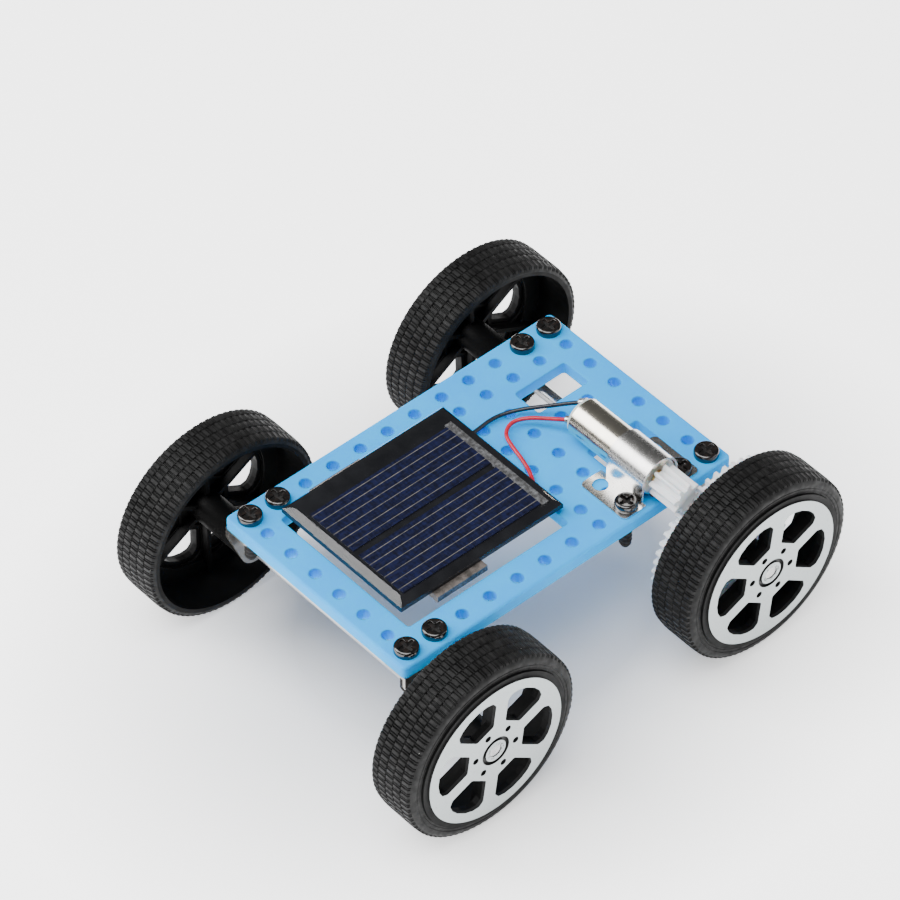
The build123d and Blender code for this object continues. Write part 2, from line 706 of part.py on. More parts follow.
def bend_radii(route):
    """Radius of the arc at each inner point, sized to the shorter run beside it."""
    points = [Vector(*point) for point in route]
    radii = []
    for before, here, after in zip(points, points[1:], points[2:]):
        shorter = min((here - before).length, (after - here).length)
        turn = math.radians((here - before).get_angle(after - here))
        radii.append(ARC_SHARE * shorter / math.tan(turn / 2))
    return radii


def make_wire(route, name):
    radii = bend_radii(route)
    with BuildPart() as wire:
        with BuildLine() as path:
            FilletPolyline(*route, radius=radii)
        with BuildSketch(Plane(origin=path.line @ 0, z_dir=path.line % 0)):
            Circle(WIRE_R)
        sweep()
    write_piece(wire, name)
    length = sum(edge.length for edge in path.edges())
    print(name, "length", round(length, 2), "bend radii", [round(radius, 2) for radius in radii])


def make_motor_solder():
    """A blob of solder at each terminal, square to the end of its wire."""
    with BuildPart() as blobs:
        for route in (BLACK_ROUTE, RED_ROUTE):
            heading = Vector(*route[-1]) - Vector(*route[-2])
            with BuildSketch(Plane(origin=route[-1], z_dir=heading)):
                Circle(BLOB_R)
        extrude(amount=BLOB_LENGTH)
        with BuildSketch(motor_plane(CAP_FRONT, TERMINAL_TURN)):
            with Locations(*terminal_centres()):
                Rectangle(TERMINAL_THICK, TERMINAL_WIDTH)
        extrude(amount=CAP_FRONT - TERMINAL_TIP, mode=Mode.SUBTRACT)
    write_piece(blobs, "motor_solder_joints")


# ---------------------------------------------------------------- the whole car

def make_wheel(x, side, inner, hub_reach, place):
    phase = PHASES[place]
    make_tyre(x, side, inner, f"tyre_{place}")
    make_rim(x, side, inner, hub_reach, phase, f"rim_{place}")
    make_hub_cap(x, side, inner, phase, f"hub_cap_{place}")


def main():
    os.makedirs("parts", exist_ok=True)
    make_plate()
    near = PITCH / 2
    for end, x in (("front", FRONT_X), ("rear", REAR_X)):
        for hand, side in SIDES.items():
            make_axle_bracket(x, side, f"axle_bracket_{end}_{hand}")
    front_pair = (FRONT_X - near, FRONT_X + near)
    rear_pair = (REAR_X - near, REAR_X + near)
    make_screws(PLATE_TOP, [(x, EDGE_ROW_Y) for x in front_pair], "front_left_screws")
    make_screws(PLATE_TOP, [(x, -EDGE_ROW_Y) for x in front_pair], "front_right_screws")
    make_screws(PLATE_TOP, [(x, -EDGE_ROW_Y) for x in rear_pair], "rear_right_screws")
    make_screws(PLATE_TOP, [(rear_pair[0], EDGE_ROW_Y)], "rear_left_screw")
    bracket_screws = [(MOTOR_X - PITCH, EDGE_ROW_Y), (MOTOR_X + PITCH, EDGE_ROW_Y)]
    make_screws(PLATE_TOP + STRAP_THICK, bracket_screws, "motor_bracket_screws", SHORT_HEAD_R)

    front_reach = FRONT_INNER - HUB_BOSS_END
    rear_reach = REAR_INNER - HUB_BOSS_END
    make_wheel(FRONT_X, 1, FRONT_INNER, front_reach, "front_left")
    make_wheel(FRONT_X, -1, FRONT_INNER, front_reach, "front_right")
    make_wheel(REAR_X, 1, REAR_INNER, 0, "rear_left")
    make_wheel(REAR_X, -1, REAR_INNER, rear_reach, "rear_right")
    front_end = FRONT_INNER + AXLE_END
    rear_end = REAR_INNER + AXLE_END
    make_rod(FRONT_X, AXLE_Z, AXLE_R, -front_end, front_end, "front_axle")
    make_rod(REAR_X, AXLE_Z, AXLE_R, -rear_end, rear_end, "rear_axle")

    make_drive_gear()
    make_pinion()
    make_rod(MOTOR_X, MOTOR_Z, SHAFT_R, SHAFT_REAR, SHAFT_FRONT, "motor_shaft")
    make_motor_can()
    make_end_cap()
    make_bush(FRONT_BUSH_R, FRONT_BUSH, "motor_front_bush")
    make_bush(REAR_BUSH_R, REAR_BUSH, "motor_rear_bush")
    make_magnets()
    make_armature_core()
    make_windings()
    make_commutator()
    make_brushes()
    make_terminals()
    make_motor_tape()
    make_motor_bracket()

    make_panel()
    make_wire(BLACK_ROUTE, "wire_black")
    make_wire(RED_ROUTE, "wire_red")
    make_motor_solder()


main()
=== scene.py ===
import json
import math

import bmesh
import bpy
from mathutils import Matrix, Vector


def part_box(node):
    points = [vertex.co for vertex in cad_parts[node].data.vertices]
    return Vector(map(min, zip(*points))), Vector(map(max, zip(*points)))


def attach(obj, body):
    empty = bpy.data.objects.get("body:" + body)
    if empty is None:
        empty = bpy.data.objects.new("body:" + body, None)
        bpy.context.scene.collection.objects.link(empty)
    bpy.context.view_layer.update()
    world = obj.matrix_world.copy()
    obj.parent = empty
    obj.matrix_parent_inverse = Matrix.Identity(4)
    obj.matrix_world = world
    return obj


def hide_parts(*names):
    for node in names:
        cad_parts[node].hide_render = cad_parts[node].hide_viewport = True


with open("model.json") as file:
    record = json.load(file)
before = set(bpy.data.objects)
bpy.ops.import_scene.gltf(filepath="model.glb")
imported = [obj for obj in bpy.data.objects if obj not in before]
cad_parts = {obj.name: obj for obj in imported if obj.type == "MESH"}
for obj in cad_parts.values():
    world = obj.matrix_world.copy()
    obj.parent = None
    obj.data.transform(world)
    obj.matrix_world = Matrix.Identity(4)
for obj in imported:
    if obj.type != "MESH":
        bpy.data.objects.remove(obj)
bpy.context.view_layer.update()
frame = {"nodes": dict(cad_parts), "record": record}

NODES = frame["nodes"]
MM = 0.001


def mm(*values):
    """Millimetres to a vector in metres."""
    return Vector(values) * MM


# ---------------------------------------------------------------- the car, in millimetres

AXLE_X = 25.0                   # each axle's distance from the middle of the car
WHEEL_R = 15.0                  # also the height of the axles
HOLE_PITCH = 5.0                # the deck's grid of holes
SCREW_Y = 16.25                 # the screws stand in a row this far to either side
DECK_TOP = 24.2
SADDLE_TOP = 24.5               # the motor's bracket, on the deck


# ---------------------------------------------------------------- camera

SENSOR_WIDTH = 36.0
LENS = 246.76
CAMERA_PLACE = (389.514, 435.389, 638.434)
CAMERA_TURN = (43.9, 0.0268, 138.5492)      # degrees


def make_camera():
    data = bpy.data.cameras.new("studio_camera")
    data.sensor_width = SENSOR_WIDTH
    data.lens = LENS
    data.clip_start = 0.02
    data.clip_end = 20.0
    camera = bpy.data.objects.new("studio_camera", data)
    camera.location = mm(*CAMERA_PLACE)
    camera.rotation_euler = [math.radians(angle) for angle in CAMERA_TURN]
    bpy.context.scene.collection.objects.link(camera)
    bpy.context.scene.camera = camera


make_camera()


# ---------------------------------------------------------------- wires

WIRE_D = 0.6
BLACK_ROUTE = [
    (8.2, -8.4, 24.75), (5.4, -8.4, 24.75), (1.6, -7.8, 24.75), (-2.6, -7.5, 24.75),
    (-6.4, -7.8, 24.75), (-9.4, -8.05, 24.85), (-11.8, -7.4, 25.0), (-13.9, -6.1, 25.35),
    (-15.6, -4.5, 25.8), (-16.9, -3.0, 26.4), (-18.1, -1.4, 27.2), (-18.7, 0.0, 28.0),
]
RED_ROUTE = [
    (8.2, 6.2, 24.75), (5.4, 6.2, 24.75), (1.6, 6.9, 24.75), (-2.4, 7.1, 24.75),
    (-5.2, 5.6, 24.75), (-6.7, 3.0, 24.75), (-7.5, 0.3, 24.8), (-8.0, -2.2, 24.9),
    (-8.7, -4.5, 25.05), (-10.75, -5.55, 25.25), (-12.9, -4.4, 25.55), (-14.6, -2.1, 25.95),
    (-15.95, 0.1, 26.5),
]


def make_wire(name, route, node):
    """A limp wire on one smooth curve that rides on the chassis."""
    data = bpy.data.curves.new(name, "CURVE")
    data.dimensions = "3D"
    spline = data.splines.new("NURBS")
    spline.points.add(len(route) - 1)
    for point, place in zip(spline.points, route):
        point.co = (*mm(*place), 1.0)
        point.radius = WIRE_D / 2 * MM
    spline.order_u = 3
    spline.use_endpoint_u = True
    spline.resolution_u = 12
    data.bevel_depth = 1.0
    data.bevel_resolution = 6
    data.use_fill_caps = True
    wire = bpy.data.objects.new(name, data)
    bpy.context.scene.collection.objects.link(wire)
    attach(wire, "chassis")
    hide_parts(node)
    tuple(mm(*route[0]))
    return wire


WIRE_BLACK = make_wire("wire_black_curve", BLACK_ROUTE, "wire_black")
WIRE_RED = make_wire("wire_red_curve", RED_ROUTE, "wire_red")


# ---------------------------------------------------------------- material tools

class Recipe:
    """A node material built on one Principled shader, in the object's own coordinates."""

    def __init__(self, name, base, roughness, metallic=0.0, specular=0.5):
        self.material = bpy.data.materials.new(name)
        self.material.use_nodes = True
        self.tree = self.material.node_tree
        self.shader = self.tree.nodes["Principled BSDF"]
        self.shader.inputs["Base Color"].default_value = (*base, 1.0)
        self.shader.inputs["Roughness"].default_value = roughness
        self.shader.inputs["Metallic"].default_value = metallic
        self.shader.inputs["Specular IOR Level"].default_value = specular
        self.place = self.add("ShaderNodeTexCoord").outputs["Object"]
        self.last_normal = None

    def add(self, kind, **settings):
        """A new node of that kind."""
        node = self.tree.nodes.new(kind)
        for key, value in settings.items():
            setattr(node, key, value)
        return node

    def link(self, source, target):
        self.tree.links.new(source, target)

    def set(self, **values):
        """Constants on the shader's own sockets, spaces written as underscores."""
        for key, value in values.items():
            self.shader.inputs[key.replace("_", " ")].default_value = value
        return self

    def noise(self, size_mm, detail=3.0, stretch=(1, 1, 1), rough=0.5):
        """Noise whose features are about that many millimetres across."""
        mapping = self.add("ShaderNodeMapping")
        mapping.inputs["Scale"].default_value = stretch
        texture = self.add("ShaderNodeTexNoise")
        texture.inputs["Scale"].default_value = 1.0 / (size_mm * MM)
        texture.inputs["Detail"].default_value = detail
        texture.inputs["Roughness"].default_value = rough
        self.link(self.place, mapping.inputs["Vector"])
        self.link(mapping.outputs["Vector"], texture.inputs["Vector"])
        return texture.outputs["Fac"]

    def cells(self, size_mm):
        """Distance to the nearest of a scatter of points about that far apart."""
        texture = self.add("ShaderNodeTexVoronoi")
        texture.inputs["Scale"].default_value = 1.0 / (size_mm * MM)
        self.link(self.place, texture.inputs["Vector"])
        return texture.outputs["Distance"]

    def span(self, source, low, high, to_low=0.0, to_high=1.0):
        """Rescales a value, clamped."""
        node = self.add("ShaderNodeMapRange")
        limits = {"From Min": low, "From Max": high, "To Min": to_low, "To Max": to_high}
        for key, value in limits.items():
            node.inputs[key].default_value = value
        self.link(source, node.inputs["Value"])
        return node.outputs["Result"]

    def edge(self, distance, none_mm, full_mm):
        """0 to 1 as a distance goes from the first length to the second."""
        return self.span(distance, none_mm * MM, full_mm * MM)

    def mix(self, factor, first, second):
        """Colour between two colours or sockets."""
        node = self.add("ShaderNodeMix", data_type="RGBA")
        self.link(factor, node.inputs["Factor"])
        for key, value in (("A", first), ("B", second)):
            socket = [s for s in node.inputs if s.name == key and s.type == "RGBA"][0]
            if isinstance(value, tuple):
                socket.default_value = (*value, 1.0)
            else:
                self.link(value, socket)
        return [s for s in node.outputs if s.type == "RGBA"][0]

    def patches(self, noise, first, second, low=0.35, high=0.7):
        """The first colour where the noise is low, the second where it is high."""
        return self.mix(self.span(noise, low, high), first, second)

    def math(self, operation, first, second=None):
        """Arithmetic on one or two numbers or sockets."""
        node = self.add("ShaderNodeMath", operation=operation)
        for socket, value in zip(node.inputs, (first, second)):
            if isinstance(value, (int, float)):
                socket.default_value = value
            elif value is not None:
                self.link(value, socket)
        return node.outputs[0]

    def reach(self, first, second):
        """Length of the diagonal of two offsets."""
        squares = [self.math("POWER", offset, 2.0) for offset in (first, second)]
        return self.math("POWER", self.math("ADD", *squares), 0.5)

    def outward(self):
        """1 on the flat faces across the axle, 0 on the walls between them."""
        node = self.add("ShaderNodeSeparateXYZ")
        coordinates = self.add("ShaderNodeTexCoord")
        self.link(coordinates.outputs["Normal"], node.inputs[0])
        return self.span(self.math("ABSOLUTE", node.outputs["Y"]), 0.80, 0.95)

    def axis(self, name):
        """One coordinate of the place, in metres."""
        node = self.add("ShaderNodeSeparateXYZ")
        self.link(self.place, node.inputs[0])
        return node.outputs[name]

    def colour(self, socket):
        """Takes the base colour from a socket."""
        self.link(socket, self.shader.inputs["Base Color"])
        return self

    def rough(self, socket):
        """Takes the roughness from a socket."""
        self.link(socket, self.shader.inputs["Roughness"])
        return self

    def soften(self, radius_mm):
        """Rounds the look of sharp edges by that radius."""
        node = self.add("ShaderNodeBevel", samples=6)
        node.inputs["Radius"].default_value = radius_mm * MM
        self.last_normal = node.outputs["Normal"]
        self.link(self.last_normal, self.shader.inputs["Normal"])
        return self

    def bump(self, socket, depth_mm, strength):
        """Adds a relief of that depth to the ones before it."""
        node = self.add("ShaderNodeBump")
        node.inputs["Strength"].default_value = strength
        node.inputs["Distance"].default_value = depth_mm * MM
        self.link(socket, node.inputs["Height"])
        if self.last_normal is not None:
            self.link(self.last_normal, node.inputs["Normal"])
        self.last_normal = node.outputs["Normal"]
        self.link(self.last_normal, self.shader.inputs["Normal"])
        return self


def moulded_plastic(name, base, shade, roughness, grain_mm=0.25, scatter=0.0, specular=0.5):
    """Injection-moulded plastic: faint flow mottling and a fine moulded grain."""
    r = Recipe(name, base, roughness, specular=specular)
    r.colour(r.patches(r.noise(7.0, 4.0), base, shade))
    r.rough(r.span(r.noise(2.5, 3.0), 0.3, 0.7, roughness * 0.85, roughness * 1.2))
    r.bump(r.noise(grain_mm, 2.0), 0.02, 0.25)
    if scatter:
        r.set(Subsurface_Weight=scatter, Subsurface_Scale=1.5 * MM, Subsurface_Radius=(0.4, 0.8, 1.0))
    return r.material


def deck_plastic():
    """Blue moulded plastic, slightly translucent, with softened edges and slow sink marks."""
    base, shade = (0.0, 0.43, 1.0), (0.0, 0.38, 0.97)
    r = Recipe("deck_plastic", base, 0.42, specular=0.08)
    r.colour(r.patches(r.noise(9.0, 4.0), base, shade))
    r.rough(r.span(r.noise(1.6, 4.0), 0.3, 0.7, 0.36, 0.5))
    r.soften(0.35)
    r.bump(r.noise(0.5, 3.0), 0.02, 0.2)
    r.bump(r.noise(12.0, 1.0), 0.15, 0.15)
    r.set(Subsurface_Weight=0.3, Subsurface_Scale=1.2 * MM, Subsurface_Radius=(0.05, 0.6, 1.0))
    return r.material


def tyre_rubber():
    """Black rubber with dull patches, fine pores and a few white dust specks."""
    base, worn = (0.007, 0.007, 0.007), (0.018, 0.018, 0.018)
    r = Recipe("tyre_rubber", base, 0.6, specular=0.15)
    dull = r.patches(r.noise(1.4, 4.0), base, worn)
    specks = r.span(r.cells(1.3), 0.045, 0.03)
    thin = r.math("MULTIPLY", specks, r.span(r.noise(3.0, 2.0), 0.60, 0.64))
    r.colour(r.mix(thin, dull, (0.55, 0.55, 0.52)))
    r.rough(r.span(r.noise(0.8, 3.0), 0.3, 0.7, 0.46, 0.72))
    r.bump(r.noise(0.12, 3.0), 0.02, 0.5)
    r.bump(r.noise(0.7, 3.0), 0.06, 0.4)
    return r.material


def plated_sheet(name, base, roughness, streak=(1, 1, 1)):
    """Bright nickel plate with faint rolling streaks and slow waves."""
    r = Recipe(name, base, roughness, metallic=1.0)
    shade = tuple(channel * 0.86 for channel in base)
    r.colour(r.patches(r.noise(2.0, 5.0, streak), base, shade, 0.3, 0.75))
    r.rough(r.span(r.noise(0.6, 4.0, streak), 0.3, 0.75, roughness * 0.9, roughness * 1.15))
    r.bump(r.noise(0.15, 2.0, streak), 0.004, 0.2)
    r.bump(r.noise(4.0, 1.0), 0.02, 0.15)
    return r.material


HUB_RING_INNER = (1.74, 1.80)   # radii between which the black ring sets in
HUB_RING_OUTER = (2.42, 2.36)
AXLE_SCUFF = (1.5, 1.4)


def silver_face():
    """Hot-foiled wheel face: bright satin silver, pin-prick specks, a black ring groove."""
    base, cool = (0.48, 0.52, 0.52), (0.42, 0.46, 0.47)
    r = Recipe("silver_face", base, 0.42, metallic=0.35)
    tone = r.patches(r.noise(0.22, 2.0), base, cool)
    specks = r.math("MULTIPLY", r.span(r.cells(0.9), 0.09, 0.05), r.span(r.noise(1.7, 2.0), 0.57, 0.62))
    dotted = r.mix(specks, tone, (0.03, 0.03, 0.03))
    along = r.math("SUBTRACT", r.math("ABSOLUTE", r.axis("X")), AXLE_X * MM)
    up = r.math("SUBTRACT", r.axis("Z"), WHEEL_R * MM)
    reach = r.reach(along, up)
    groove = r.math("MULTIPLY", r.edge(reach, *HUB_RING_INNER), r.edge(reach, *HUB_RING_OUTER))
    scuff = r.math("MULTIPLY", r.edge(reach, *AXLE_SCUFF), r.span(r.noise(0.35, 3.0), 0.52, 0.6))
    dark = r.math("MAXIMUM", groove, r.math("MULTIPLY", scuff, 0.7))
    foiled = r.mix(dark, dotted, (0.006, 0.006, 0.006))
    face = r.outward()
    r.colour(r.mix(face, (0.004, 0.004, 0.004), foiled))
    r.link(r.math("MULTIPLY", face, 0.35), r.shader.inputs["Metallic"])
    satin = r.span(r.noise(0.3, 3.0), 0.3, 0.7, 0.34, 0.5)
    r.rough(r.math("MAXIMUM", satin, r.span(face, 0.0, 1.0, 0.8, 0.0)))
    r.soften(0.08)
    r.bump(r.noise(0.18, 2.0), 0.012, 0.35)
    return r.material


def steel(name, base, roughness, streak=(1, 1, 1)):
    """Bare metal with darker stains, drawn out along the way it was worked."""
    r = Recipe(name, base, roughness, metallic=1.0)
    stain = tuple(channel * 0.7 for channel in base)
    r.colour(r.patches(r.noise(0.9, 5.0, streak), base, stain, 0.3, 0.7))
    r.rough(r.span(r.noise(0.4, 3.0, streak), 0.3, 0.7, roughness * 0.7, roughness * 1.4))
    r.bump(r.noise(0.1, 2.0, streak), 0.006, 0.4)
    return r.material


RECESS_R = (1.3, 1.2)           # radii between which a screw's recess starts
RECESS_Z = (25.12, 25.0)        # heights between which it turns dull, going down


def black_screw_steel():
    """Blackened steel, glossy but for the deep sides of the cross recess."""
    r = Recipe("black_screw_steel", (0.005, 0.005, 0.005), 0.14, specular=0.9)
    black, rusty = (0.004, 0.004, 0.004), (0.022, 0.014, 0.011)
    r.colour(r.patches(r.noise(0.5, 4.0), black, rusty, 0.45, 0.75))
    r.bump(r.noise(0.2, 2.0), 0.02, 0.25)
    # the screws stand half a pitch off the middle, so the nearest one comes from rounding
    step = r.math("DIVIDE", r.axis("X"), HOLE_PITCH * MM)
    nearest = r.math("ADD", r.math("ROUND", r.math("SUBTRACT", step, 0.5)), 0.5)
    off_x = r.math("SUBTRACT", r.axis("X"), r.math("MULTIPLY", nearest, HOLE_PITCH * MM))
    off_y = r.math("SUBTRACT", r.math("ABSOLUTE", r.axis("Y")), SCREW_Y * MM)
    inside = r.edge(r.reach(off_x, off_y), *RECESS_R)
    sunk = r.math("MULTIPLY", inside, r.edge(r.axis("Z"), *RECESS_Z))
    r.rough(r.math("MAXIMUM", sunk, r.span(r.noise(0.3, 3.0), 0.3, 0.7, 0.08, 0.22)))
    return r.material


FINGER_PITCH = 1.5              # the silver lines printed on the cells
FINGER_START = 0.95
FINGER_WIDTH = 0.11


def silicon_cell():
    """Dark blue silicon with a woven grain and printed silver fingers along its length."""
    r = Recipe("silicon_cell", (0.004, 0.006, 0.030), 0.25)
    weave = r.math("MULTIPLY", r.noise(0.35, 2.0, (0.25, 1, 1)), r.noise(0.35, 2.0, (1, 0.25, 1)))
    blue = r.mix(r.span(weave, 0.15, 0.38), (0.002, 0.003, 0.014), (0.006, 0.009, 0.045))
    step = r.math("DIVIDE", r.math("SUBTRACT", r.axis("Y"), FINGER_START * MM), FINGER_PITCH * MM)
    off = r.math("ABSOLUTE", r.math("SUBTRACT", step, r.math("ROUND", step)))
    half = FINGER_WIDTH / FINGER_PITCH / 2
    finger = r.span(off, half * 1.3, half * 0.7)
    silver = r.patches(r.noise(0.8, 4.0), (0.10, 0.095, 0.085), (0.22, 0.20, 0.17), 0.35, 0.65)
    r.colour(r.mix(finger, blue, silver))
    r.rough(r.span(r.noise(0.5, 2.0), 0.3, 0.7, 0.25, 0.4))
    r.bump(finger, 0.02, 0.4)
    return r.material


def mottled_metal(name, base, dark, roughness):
    """Tinned metal with dull and bright patches."""
    r = Recipe(name, base, roughness, metallic=0.9)
    r.colour(r.patches(r.noise(0.7, 5.0), dark, base, 0.4, 0.62))
    r.rough(r.span(r.noise(0.5, 3.0), 0.3, 0.7, roughness * 0.6, roughness * 1.5))
    r.bump(r.noise(0.4, 3.0), 0.05, 0.5)
    return r.material


def clear_resin():
    """Clear coat that lets the cells show and mirrors the lamps at a slant."""
    material = bpy.data.materials.new("clear_resin")
    material.use_nodes = True
    tree = material.node_tree
    tree.nodes.clear()
    out = tree.nodes.new("ShaderNodeOutputMaterial")
    mix = tree.nodes.new("ShaderNodeMixShader")
    through = tree.nodes.new("ShaderNodeBsdfTransparent")
    through.inputs["Color"].default_value = (0.93, 0.94, 0.96, 1.0)
    gloss = tree.nodes.new("ShaderNodeBsdfGlossy")
    gloss.inputs["Roughness"].default_value = 0.05
    fresnel = tree.nodes.new("ShaderNodeFresnel")
    fresnel.inputs["IOR"].default_value = 1.55
    place = tree.nodes.new("ShaderNodeTexCoord")
    waves = tree.nodes.new("ShaderNodeTexNoise")
    waves.inputs["Scale"].default_value = 180.0
    waves.inputs["Detail"].default_value = 1.0
    bump = tree.nodes.new("ShaderNodeBump")
    bump.inputs["Distance"].default_value = 0.02 * MM
    bump.inputs["Strength"].default_value = 0.08
    tree.links.new(place.outputs["Object"], waves.inputs["Vector"])
    tree.links.new(waves.outputs["Fac"], bump.inputs["Height"])
    tree.links.new(bump.outputs["Normal"], gloss.inputs["Normal"])
    outside = tree.nodes.new("ShaderNodeMath")
    outside.operation = "SUBTRACT"
    outside.inputs[0].default_value = 1.0
    facing = tree.nodes.new("ShaderNodeNewGeometry")
    tree.links.new(facing.outputs["Backfacing"], outside.inputs[1])
    share = tree.nodes.new("ShaderNodeMath")
    share.operation = "MULTIPLY"
    tree.links.new(fresnel.outputs[0], share.inputs[0])
    tree.links.new(outside.outputs[0], share.inputs[1])
    tree.links.new(share.outputs[0], mix.inputs[0])
    tree.links.new(through.outputs[0], mix.inputs[1])
    tree.links.new(gloss.outputs[0], mix.inputs[2])
    tree.links.new(mix.outputs[0], out.inputs["Surface"])
    return material


def tape_plastic(name, base, dark):
    """Foam and film tape: crumpled, patchy and glossy."""
    r = Recipe(name, base, 0.3)
    r.colour(r.patches(r.noise(1.2, 5.0), base, dark, 0.35, 0.65))
    r.rough(r.span(r.noise(0.7, 3.0), 0.3, 0.7, 0.15, 0.45))
    r.bump(r.noise(0.8, 4.0), 0.12, 0.5)
    return r.material


def wire_sleeve(name, base, shade):
    """Soft vinyl with faint handling marks."""
    r = Recipe(name, base, 0.32)
    r.colour(r.patches(r.noise(1.5, 3.0), base, shade))
    r.rough(r.span(r.noise(0.6, 3.0), 0.3, 0.7, 0.24, 0.42))
    r.bump(r.noise(0.3, 2.0), 0.02, 0.3)
    return r.material


MATERIALS = {
    "blue_plastic": deck_plastic(),
    "nickel_sheet": plated_sheet("nickel_plate", (0.84, 0.79, 0.68), 0.2),
    "black_steel": black_screw_steel(),
    "tyre_rubber": tyre_rubber(),
    "black_plastic": moulded_plastic(
        "black_plastic", (0.003, 0.003, 0.003), (0.006, 0.006, 0.006), 0.55, specular=0.10
    ),
    "silver_face": silver_face(),
    "steel_rod": steel("bright_steel", (0.62, 0.62, 0.62), 0.28, (1, 0.1, 1)),
    "white_nylon": moulded_plastic(
        "white_nylon", (0.84, 0.87, 0.90), (0.78, 0.82, 0.87), 0.36, scatter=0.5
    ),
    "white_plastic": moulded_plastic(
        "milky_plastic", (0.62, 0.66, 0.60), (0.50, 0.56, 0.48), 0.3, scatter=0.6
    ),
    "bush_brass": steel("bush_brass", (0.72, 0.53, 0.25), 0.3),
    "magnet_iron": steel("magnet_ferrite", (0.10, 0.10, 0.10), 0.6),
    "core_iron": steel("core_steel", (0.35, 0.35, 0.36), 0.4, (1, 0.05, 1)),
    "winding_copper": steel("winding_copper", (0.72, 0.30, 0.14), 0.3, (0.1, 1, 0.1)),
    "brush_metal": steel("brush_metal", (0.74, 0.58, 0.36), 0.28),
    "solder": mottled_metal("solder", (0.72, 0.72, 0.72), (0.35, 0.34, 0.33), 0.28),
    "clear_tape": tape_plastic("tape_film", (0.15, 0.13, 0.12), (0.05, 0.045, 0.04)),
    "panel_black": moulded_plastic(
        "panel_board_black", (0.003, 0.003, 0.004), (0.006, 0.006, 0.007), 0.4
    ),
    "solar_silicon": silicon_cell(),
    "clear_resin": clear_resin(),
    "wire_black": wire_sleeve("wire_sleeve_black", (0.012, 0.014, 0.022), (0.02, 0.022, 0.03)),
    "wire_red": wire_sleeve("wire_sleeve_red", (0.55, 0.012, 0.035), (0.42, 0.008, 0.025)),
}

# nickel_sheet pieces that take their own copy of the plating, by the start of the name: painted shade
# on the axle brackets, a cooler, rougher plate on the motor's bracket
SPECIAL_SHEETS = {
    # painted shade: the axle brackets' plate is darkened to about half the nickel's colour for the
    # shade under the deck
    "axle_bracket": plated_sheet("shaded_axle_bracket_plate", (0.42, 0.40, 0.37), 0.3),
    "motor_bracket": plated_sheet("saddle_plate", (0.76, 0.75, 0.73), 0.26),
}


def paint_frame():
    """Gives every carried-over CAD node its node material."""
    slots = {part["node"]: part["material_slot"] for part in frame["record"]["subparts"]}
    for name, node in NODES.items():
        material = MATERIALS[slots[name]]
        for start, sheet in SPECIAL_SHEETS.items():
            if slots[name] == "nickel_sheet" and name.startswith(start):
                material = sheet
        node.data.materials.clear()
        node.data.materials.append(material)


paint_frame()
WIRE_BLACK.data.materials.append(MATERIALS["wire_black"])
WIRE_RED.data.materials.append(MATERIALS["wire_red"])


# ---------------------------------------------------------------- mesh tools

def new_piece(name, mesh_data, body, slot, replaces):
    """Links a mesh as a piece that rides on a body and takes a slot's material."""
    piece = bpy.data.objects.new(name, mesh_data)
    bpy.context.scene.collection.objects.link(piece)
    mesh_data.materials.append(MATERIALS[slot])
    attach(piece, body)
    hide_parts(*replaces)


def mesh_from(name, vertices, faces, smooth_below):
    """A mesh whose edges are smooth where the faces turn by less than that many degrees."""
    mesh = bpy.data.meshes.new(name)
    mesh.from_pydata(vertices, [], faces)
    mesh.validate()
    work = bmesh.new()
    work.from_mesh(mesh)
    bmesh.ops.recalc_face_normals(work, faces=work.faces)
    work.to_mesh(mesh)
    work.free()
    mesh.shade_smooth()
    mesh.set_sharp_from_angle(angle=math.radians(smooth_below))
    return mesh


# ---------------------------------------------------------------- tyres

TREAD_BLOCKS = 84
STEPS = 12                      # columns of the mesh for each tread block
TREAD_DEPTH = 0.36
ROW_CENTRES = (0.93, 2.43, 3.93, 5.43, 6.93)
ROW_LENGTH = 1.44
ROW_SHIFT = (0, 5, 9, 3, 7)     # columns that each row is turned by
ROW_GAP_HEIGHT = 0.35           # share of the tread's depth that is left between the rows
ROW_EDGE = 0.07
ROW_EDGE_HEIGHT = 0.92
# height of each column of a block, from the groove's floor at 0 to the top at 1
BLOCK_HEIGHTS = (1, 1, 1, 1, 1, 1, 0, 0, 0.85, 0.85, 0, 0)
SHOULDER_START = 0.9            # distance from either edge at which the tread rounds off
SHOULDER_DROP = 0.81
TYRE_WIDTH = 8.0
TYRE_BORE_R = 14.0
WALL_START = 7.2                # the outer wall's inner face
WALL_BORE_R = 12.70
WALL_GROOVES = ((13.5, 0.07), (13.0, 0.06))     # (radius, depth)


def crown(w):
    """Radius of the tread's top at a distance across the tyre."""
    edge = min(w, TYRE_WIDTH - w)
    if edge >= SHOULDER_START:
        return WHEEL_R
    t = 1.0 - edge / SHOULDER_START
    return WHEEL_R - SHOULDER_DROP * (1.0 - math.sqrt(max(0.0, 1.0 - t * t)))


def tread_stations():
    """(distance across, row, height share) of each ring of the tread."""
    stations = []
    for row, centre in enumerate(ROW_CENTRES):
        low, high = centre - ROW_LENGTH / 2, centre + ROW_LENGTH / 2
        stations += [(low, row, ROW_GAP_HEIGHT), (low + ROW_EDGE, row, ROW_EDGE_HEIGHT)]
        stations += [(low + 2 * ROW_EDGE, row, 1.0), (high - 2 * ROW_EDGE, row, 1.0)]
        stations += [(high - ROW_EDGE, row, ROW_EDGE_HEIGHT), (high, row, ROW_GAP_HEIGHT)]
    return stations


def tread_radii(w, row, share, columns):
    """Radius of a tread ring at each column of the mesh."""
    floor = crown(w) - TREAD_DEPTH
    for column in range(columns):
        height = BLOCK_HEIGHTS[(column + ROW_SHIFT[row]) % STEPS] * share
        yield floor + TREAD_DEPTH * height


